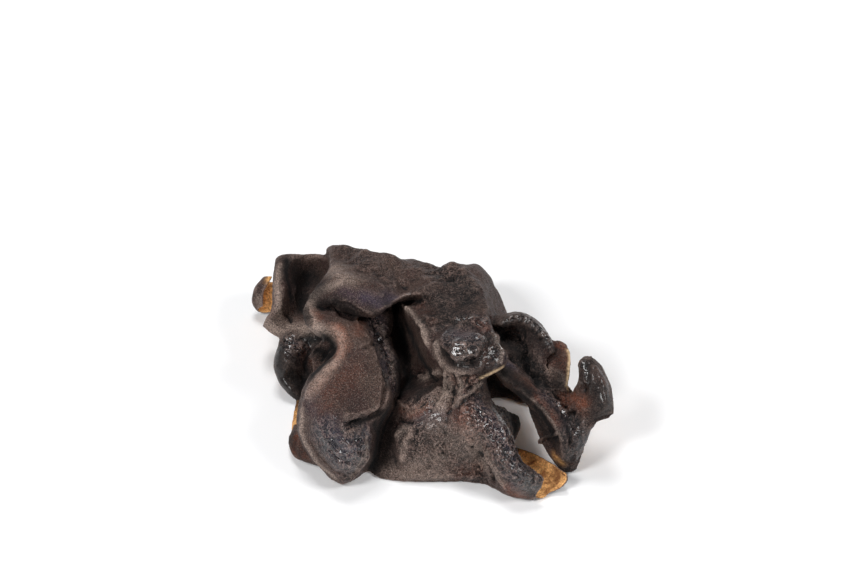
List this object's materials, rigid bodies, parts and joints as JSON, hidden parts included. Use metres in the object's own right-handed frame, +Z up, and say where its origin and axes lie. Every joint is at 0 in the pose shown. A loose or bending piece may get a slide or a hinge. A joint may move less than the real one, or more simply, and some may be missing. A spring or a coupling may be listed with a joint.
{
  "type": "dried wood ear mushroom",
  "caption": "Dried wood ear mushroom: a leathery dark sheet shrunk into folds, a long tongue, curled lobes and a hollow felted underside.",
  "frame": {"origin": "under the middle of the ear's bounding box, on the surface that it rests on", "axes": "+X towards the ear's right, as seen from the side of the long tongue; +Y towards its rear skirt; +Z up"},
  "size_m": [0.073, 0.0606, 0.0251],
  "materials": {
    "dark_skin": "dark brown-black dried skin, satin"
  },
  "bodies": {
    "root": {"wood_ear": "dark_skin"}
  },
  "joints": []
}
